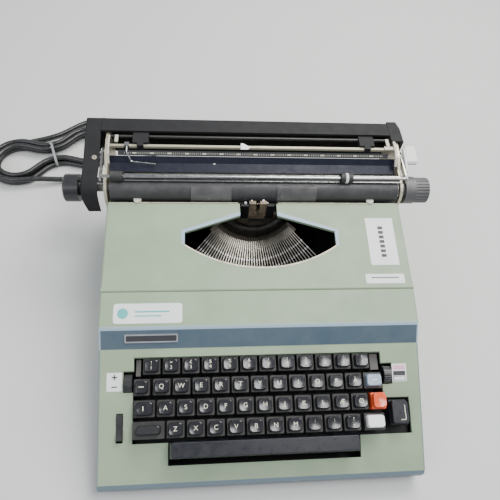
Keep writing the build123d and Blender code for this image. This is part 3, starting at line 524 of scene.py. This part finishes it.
def rim(name, inner, outer, lift_in, lift_out, material):
    """Strip along the cover between two lines, with its own height at each."""
    points = [on_cover(x, y, lift) for line, lift in ((inner, lift_in), (outer, lift_out)) for x, y in line]
    points += [on_cover(x, y, -0.5) for line in (inner, outer) for x, y in line]
    n = len(inner)
    faces = []
    for i in range(n - 1):
        faces += [(i, i + 1, n + i + 1, n + i), (2 * n + i, 3 * n + i, 3 * n + i + 1, 2 * n + i + 1),
                  (i, 2 * n + i, 2 * n + i + 1, i + 1), (n + i, n + i + 1, 3 * n + i + 1, 3 * n + i)]
    faces += [(0, n, 3 * n, 2 * n), (n - 1, 3 * n - 1, 4 * n - 1, 2 * n - 1)]
    return solid(name, points, faces, material, "top_cover")


def arc_line(lift_out):
    """The opening's front edge, an arc through three points, moved outward."""
    (x1, y1), (x2, y2), (x3, y3) = (-78.4, 216.3), (1.3, 190.5), (83.5, 214.8)
    a, b, c = x2 - x1, y2 - y1, x3 - x1
    d, e, f = y3 - y1, (a * (x1 + x2) + b * (y1 + y2)), (c * (x1 + x3) + (y3 - y1) * (y1 + y3))
    g = 2 * (a * (y3 - y2) - b * (x3 - x2))
    cx, cy = (d * e - b * f) / g, (a * f - c * e) / g
    r = sqrt((x1 - cx) ** 2 + (y1 - cy) ** 2)
    start, end = atan2(y1 - cy, x1 - cx), atan2(y3 - cy, x3 - cx)
    turns = [start + (end - start) * i / 40 for i in range(41)]
    return [(cx + (r + lift_out) * cos(t), cy + (r + lift_out) * sin(t)) for t in turns]


# Painted light: the flat pale-blue strips on the left and right stand in for the light on the cover's
# chamfer, which slopes down into the opening.
rim("opening_edge_left", FAN, FAN_OUT, 0.15, 0.3, pale_blue_chamfer_light)
rim("opening_edge_right", FAN_R, FAN_R_OUT, 0.15, 0.3, pale_blue_chamfer_light)
rim("opening_edge_front", arc_line(0.0), arc_line(1.6), 0.15, 0.25, cream_edge)

# ---------------------------------------------------------------- mains cord
LEAD = [(-120, 378, 34), (-120, 398, 33), (-124, 420, 24), (-130, 444, 12), (-137, 468, 4), (-150, 490, 4.4),
        (-170, 505, 4), (-192, 513, 4.4), (-213, 515, 4), (-234, 507, 4.2), (-251, 493, 4), (-270, 478, 4.1)]
TAIL = [(-283, 392, 10.5), (-262, 393.5, 7.5), (-240, 396, 4.6), (-218, 397.5, 4), (-199, 396, 4),
        (-184, 392, 5.4), (-171, 388.4, 7.4)]
HANK_X, HANK_Y, HANK_TURN = -266.0, 440.0, radians(17.7)
LOBE_R, NECK_R, NECK_HALF, STRAND, TURN_POINTS = 25.0, 44.0, 5.0, 8.2, 24


def hank_point(turns):
    """Point of the hank after so many turns: a pinched loop, spiralling in, then out one layer up."""
    spread = STRAND * abs(2 - turns)
    reach = sqrt((LOBE_R + NECK_R) ** 2 - (NECK_HALF + NECK_R) ** 2)
    pinch = atan2(NECK_HALF + NECK_R, reach)
    lobe, neck = 2 * (pi - pinch) * LOBE_R, (pi - 2 * pinch) * NECK_R
    along = (turns % 1) * 2 * (lobe + neck)
    outer, inner = LOBE_R + spread, NECK_R - spread
    if along < lobe / 2 or along >= 1.5 * lobe + 2 * neck:
        turn = along / LOBE_R if along < lobe / 2 else pinch - pi + (along - 1.5 * lobe - 2 * neck) / LOBE_R
        x, y = reach + outer * cos(turn), outer * sin(turn)
    elif along < lobe / 2 + neck:
        turn = -pinch - (along - lobe / 2) / NECK_R
        x, y = inner * cos(turn), NECK_HALF + NECK_R + inner * sin(turn)
    elif along < 1.5 * lobe + neck:
        turn = pinch + (along - lobe / 2 - neck) / LOBE_R
        x, y = -reach + outer * cos(turn), outer * sin(turn)
    else:
        turn = pi - pinch - (along - 1.5 * lobe - neck) / NECK_R
        x, y = inner * cos(turn), -NECK_HALF - NECK_R + inner * sin(turn)
    layer = min(max((turns - 1.83) / 0.2, 0), 1)
    return (HANK_X + x * cos(HANK_TURN) - y * sin(HANK_TURN),
            HANK_Y + x * sin(HANK_TURN) + y * cos(HANK_TURN), 4 + 7.7 * layer)


hank = []
turns = 0.375
while turns < 3.6:
    hank.append(hank_point(turns))
    turns += 1 / TURN_POINTS
route = LEAD + hank + TAIL
curve = bpy.data.curves.new("mains_cord", "CURVE")
curve.dimensions = "3D"
curve.bevel_depth = 0.0035
curve.bevel_resolution = 6
line = curve.splines.new("NURBS")
line.points.add(len(route) - 1)
for point, place in zip(line.points, route):
    point.co = (*at(*place), 1.0)
line.order_u = 3
line.use_endpoint_u = True
line.resolution_u = 8
cord = keep(bpy.data.objects.new("mains_cord", curve), pvc, "machine")
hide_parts("cord_lead", "cord_hank")

tie = []
for step in range(41):
    turn = 2 * pi * step / 40 * 2
    across, up = 20.5 * cos(turn), 8.4 + 9.6 * sin(turn)
    along = -1.5 + 3.0 * step / 40
    tie.append((HANK_X + along * cos(HANK_TURN) - across * sin(HANK_TURN),
                HANK_Y + along * sin(HANK_TURN) + across * cos(HANK_TURN), max(0.9, up)))
tail_twist = [(HANK_X - 4.2 + 2.6 * sin(i), HANK_Y + 2 + i * 2.1, 17.4 + 0.9 * cos(1.7 * i))
              for i in range(8)]
wire("hank_tie", tie, 0.9, tie_grey, "machine")
wire("hank_tie_ends", tail_twist, 0.8, tie_grey, "machine", smooth=True)
gland = Matrix.Translation(at(-120, 348, 34)) @ Matrix.Rotation(radians(-90), 4, "X")
gland_rings = [prism(ring(7.6 - 0.09 * i, 28), 3 + 3.6 * i, 4.6 + 3.6 * i, gland) for i in range(6)]
solid("gland_rings", *merged(gland_rings), rubber, "machine")

# ---------------------------------------------------------------- carriage
SCALE_Y, SCALE_Z, SCALE_TIP, SPACE_STEP = 316.9, 141.4, atan2(4.6, 2.8), 2.117
scale_marks = []
for i in range(-68, 70):
    outline = plate(4.2, 1.5) if i % 9 == 0 else plate(0.45, 2.0)
    scale_marks.append(prism(outline, -0.15, 0.14, tilted(i * SPACE_STEP, SCALE_Y, SCALE_Z, SCALE_TIP)))
solid("scale_marks", *merged(scale_marks), legend, "carriage")

def bail_frame(x=0.0):
    return tilted(x, 283.0, 140.51, radians(15.95))


bail_ticks = []
for i in range(-66, 75):
    x = i * SPACE_STEP
    if -142 < x < 91 or 106 < x < 160:
        tall = 2.2 if i % 5 == 0 else 1.2
        bail_ticks.append(prism(plate(0.4, tall, y=1.5 - tall / 2), 0.2, 0.28, bail_frame(x)))
bail_band = [prism([(low, -3.3), (high, -3.3), (high, 1.9), (low, 1.9)], -0.2, 0.22, bail_frame())
             for low, high in ((-141.8, 90.8), (106.2, 159.8))]
solid("bail_scale", *merged(bail_band), black_smooth, "paper_bail")
solid("bail_scale_marks", *merged(bail_ticks), aluminium, "paper_bail")

def turned(name, xs, y, z, radii, material, body, steps=48, smooth=True):
    """Round piece along the machine's width: radius at each of the given x positions."""
    points, faces = [], []
    turns = [2 * pi * i / steps for i in range(steps)]
    for x, radius in zip(xs, radii):
        points += [at(x, y + radius * cos(turn), z + radius * sin(turn)) for turn in turns]
    for part in range(len(xs) - 1):
        base = part * steps
        faces += [(base + i, base + (i + 1) % steps, base + steps + (i + 1) % steps, base + steps + i)
                  for i in range(steps)]
    faces += [tuple(range(steps - 1, -1, -1)), tuple(range(len(points) - steps, len(points)))]
    return solid(name, points, faces, material, body, smooth)


turned("bail_roller_mark", (96.9, 97.0, 100.0, 100.1), 283, 141.8, (5.0, 5.58, 5.58, 5.0), white,
       "bail_rollers")
for side, x in (("left", -149.5), ("right", 98.5)):
    turned(f"bail_roller_rim_{side}", (x - 6.6, x - 6.2, x - 5.4, x - 5.0), 283, 141.8,
           (5.0, 5.62, 5.62, 5.4), black_smooth, "bail_rollers")

# End brackets, screws and posts of the carriage
bracket_outline = [(303, 139.4), (309, 147.6), (322, 151.4), (334, 151.2), (334, 149.8), (322, 149.8),
                   (310.5, 146.0), (304.5, 138.4)]
solid("bracket_left", *side_prism(bracket_outline, (-160.8, -159.2)), cream, "carriage")
solid("bracket_right", *side_prism(bracket_outline, (158.6, 161.4)), cream, "carriage")
left_blocks = [prism(plate(1.2, 4.6), 0, 1.2, tilted(-160.0, 322.6, 147.7)),
               prism(plate(3.4, 10), 0, 1.4, tilted(-152.6, 331.4, 147.7))]
right_blocks = [prism(plate(12, 4.6), 0, 1.2, tilted(154.0, 322.6, 147.7)),
                prism(plate(3.4, 11), 0, 1.4, tilted(153.0, 331, 147.7))]
solid("rack_block_left", *merged(left_blocks), cream, "carriage")
solid("rack_block_right", *merged(right_blocks), cream, "carriage")
turned("bail_pivot_left", (-168.6, -168.4, -167.7), 319, 141, (3.2, 3.8, 3.8), steel, "carriage")
turned("bail_pivot_right", (168.1, 168.7, 168.9), 319, 141, (3.6, 3.6, 3.0), steel, "carriage")
solid("pointer_tab", *merged([prism([(-5, -3.2), (3.4, -3.2), (5.8, -0.4), (-1.8, 4.4), (-4.4, 4.4)], 0, 0.7,
                                    tilted(-12.2, 321.5, 148.0, radians(14)))]), aluminium, "carriage")
table_top = tilted(0, 309.0, 131.2, radians(26.6))
solid("table_marks", *merged([prism(plate(11, 1.6, x=-48, y=5.6), -0.2, 0.85, table_top),
                              prism(plate(2.6, 4.6, x=-46, y=3.6), -0.2, 0.85, table_top)]),
      paper, "carriage")
solid("cover_seam_across", *side_prism([(299.6, 139.2), (299.6, 139.66), (300.2, 139.74), (300.2, 139.2)],
                                       (-186.6, -170.1)), ink, "carriage")
screw = tilted(-175, 309, 141.9, radians(13.9))
solid("cover_screw", *prism(ring(2.5, 20), -0.5, 0.7, screw), zinc, "carriage")
# Painted shade: the black cross stands in for the shaded slot of the screw head.
solid("cover_screw_slot", *merged([prism(plate(3.2, 0.6), 0.5, 0.76, screw),
                                   prism(plate(0.6, 3.2), 0.5, 0.76, screw)]), ink, "carriage")
holders = [tilted(x, 268.9, 126.2, radians(62)) for x in (-32.5, 27.6)]
solid("holder_rings", *merged([prism(ring(1.7, 18), -0.4, 0.5, holder) for holder in holders]), chrome,
      "machine")
# Painted shade: the black discs stand in for the dark holes in the card holders.
solid("holder_holes", *merged([prism(ring(0.9, 14), 0.4, 0.56, holder) for holder in holders]), ink,
      "machine")

# White buttons and guide pins by the type guide
solid("button_left", *prism(ring(4.0, 28), 0, 2.6, tilted(-129, 267.9, 119.2)), cream, "machine")
solid("button_right", *prism(ring(4.0, 28), 0, 2.6, tilted(128, 267.9, 119.2)), cream, "machine")
pins = [prism(ring(1.3, 16), -1.6, 1.4, tilted(x, 266.2, z)) for x, z in ((-12.2, 118.0), (7.4, 121.8))]
solid("guide_pins", *merged(pins), white, "machine")
studs = [prism(ring(1.0, 14), -1.6, 1.0, tilted(x, 266.2, z)) for x, z in ((-5.6, 121.8), (12.4, 118.0))]
solid("guide_studs", *merged(studs), steel, "machine")

# ---------------------------------------------------------------- type basket seen through the opening
PIVOT_R, BASKET_SLOPE = 63.3, radians(49)
basket = (Matrix.Translation(at(1.5, 268.4 + 45.7 * sin(BASKET_SLOPE), 122.0 - 45.7 * cos(BASKET_SLOPE)))
          @ Matrix.Rotation(BASKET_SLOPE, 4, "X"))


def fan_strip(name, radii, heights, spread, material, steps=48, thick=1.2):
    """Sheet ring sector about the basket's axis, facing forward: a radius and a height at each line."""
    points, faces = [], []
    lines = list(zip(radii, heights))
    for low in (0.0, -thick):
        for radius, height in lines:
            for i in range(steps + 1):
                turn = radians(-90 - spread + 2 * spread * i / steps)
                spot = Vector((radius * cos(turn), radius * sin(turn), height + low)) / 1000
                points.append(basket @ spot)
    row, layer = steps + 1, (steps + 1) * len(lines)
    for line_index in range(len(lines) - 1):
        for i in range(steps):
            a = line_index * row + i
            faces.append((a, a + row, a + row + 1, a + 1))
            faces.append((layer + a, layer + a + 1, layer + a + row + 1, layer + a + row))
    for i in range(steps):
        a, b = i, (len(lines) - 1) * row + i
        faces += [(a, a + 1, layer + a + 1, layer + a), (b, layer + b, layer + b + 1, b + 1)]
    for line_index in range(len(lines) - 1):
        a, b = line_index * row, line_index * row + steps
        faces += [(a, layer + a, layer + a + row, a + row), (b, b + row, layer + b + row, layer + b)]
    return solid(name, points, faces, material, "machine", smooth=True)


fan_strip("basket_dome", (38.5, 36, 31, 27), (9.0, 11.0, 14.0, 15.5), 50, cast)
fins = []
for index in range(44):
    turn = radians(-90 + (index - 21.5) * 92 / 43)
    out = basket @ Matrix.Rotation(turn, 4, "Z")
    fins.append(([out @ Vector((r / 1000, w / 1000, h / 1000)) for w in (-0.35, 0.35)
                  for r, h in ((53.2, 3.6), (39.5, 8.4), (39.5, 6.4), (53.2, 1.6))],
                 [(0, 3, 2, 1), (4, 5, 6, 7), (0, 1, 5, 4), (1, 2, 6, 5), (2, 3, 7, 6), (3, 0, 4, 7)]))
solid("basket_fins", *merged(fins), bar_metal, "machine")
fan_strip("basket_bed", (53.4, 39.5), (1.4, 6.2), 47, steel_dark)
# Partly painted highlight: the kinks are real bends in the typebars, and their blocks take the brighter steel
# instead of the typebars' metal so that they stand in for the light the bends catch.
kinks, middle_kinks = [], []
for index in range(44):
    turn = radians(-90 + (index - 21.5) * 92 / 43)
    bar = (basket @ Matrix.Rotation(turn, 4, "Z") @ Matrix.Translation((PIVOT_R / 1000, 0, 0))
           @ Matrix.Rotation(radians(-25), 4, "Y"))
    for u, rise in ((20, 2.2), (31, 2.1)):
        block = prism(plate(2.2, 1.5, x=u), rise - 1.6, rise + 0.25, bar)
        (middle_kinks if index == 22 else kinks).append(block)
solid("typebar_kinks", *merged(kinks), steel, "machine")
solid("typebar_kinks_middle", *merged(middle_kinks), steel, "typebar_middle")
cover_edge = [side_prism([(264.9, 118.4), (265.5, 118.4), (265.5, 120.15), (264.9, 120.05)], xs)
              for xs in ((-128.0, -20.6), (23.4, 126.0))]
solid("cover_rear_edge", *merged(cover_edge), cream_edge, "top_cover")

# ---------------------------------------------------------------- floor, light and camera
FLOOR_REACH, FLOOR_Z = 3, -0.0005
floor_corners = [(x * FLOOR_REACH, y * FLOOR_REACH, FLOOR_Z) for x, y in ((-1, -1), (1, -1), (1, 1), (-1, 1))]
floor = bpy.data.objects.new("floor", bpy.data.meshes.new("floor"))
floor.data.from_pydata(floor_corners, [], [(0, 1, 2, 3)])
floor_paint = Nodes("floor_pale")
floor_paint.shader.inputs["Base Color"].default_value = rgb(0.62, 0.62, 0.6)
floor_paint.shader.inputs["Roughness"].default_value = 0.9
floor.data.materials.append(floor_paint.mat)
bpy.context.scene.collection.objects.link(floor)


def lamp(name, place, aim, size, power, colour=(1, 1, 1)):
    data = bpy.data.lights.new(name, "AREA")
    data.shape = "RECTANGLE"
    data.size, data.size_y = size
    data.energy = power
    data.color = colour
    obj = bpy.data.objects.new(name, data)
    obj.location = place
    obj.rotation_mode = "QUATERNION"
    obj.rotation_quaternion = (Vector(aim) - Vector(place)).to_track_quat("-Z", "Y")
    bpy.context.scene.collection.objects.link(obj)


lamp("key_light", (0.55, 0.85, 1.45), (0.0, 0.0, 0.1), (1.2, 0.8), 34, (1.0, 0.99, 0.96))
lamp("top_light", (0.34, -0.12, 1.3), (0.1, -0.05, 0.08), (0.5, 0.4), 11, (1.0, 1.0, 0.99))
lamp("fill_light", (-1.2, -0.8, 1.3), (0.0, 0.0, 0.05), (1.5, 1.2), 14, (0.93, 0.96, 1.0))
world = bpy.data.worlds.new("soft_sky")
world.use_nodes = True
world.node_tree.nodes["Background"].inputs["Color"].default_value = rgb(0.85, 0.9, 1.0)
world.node_tree.nodes["Background"].inputs["Strength"].default_value = 0.55
bpy.context.scene.world = world

tip, yaw, roll = radians(56.59), radians(10.51), radians(8.52)
ahead = Vector((sin(yaw) * cos(tip), cos(yaw) * cos(tip), -sin(tip)))
across = Vector((cos(yaw), -sin(yaw), 0))
down = ahead.cross(across)
right = across * cos(roll) - down * sin(roll)
below = across * sin(roll) + down * cos(roll)
data = bpy.data.cameras.new("camera")
data.lens, data.sensor_width = 36.69, 36.0
data.clip_start, data.clip_end = 0.02, 20
camera = bpy.data.objects.new("camera", data)
bpy.context.scene.collection.objects.link(camera)
camera.matrix_world = Matrix((
    (right.x, -below.x, -ahead.x, -0.059), (right.y, -below.y, -ahead.y, -0.26075),
    (right.z, -below.z, -ahead.z, 0.5588), (0, 0, 0, 1)))
bpy.context.scene.camera = camera
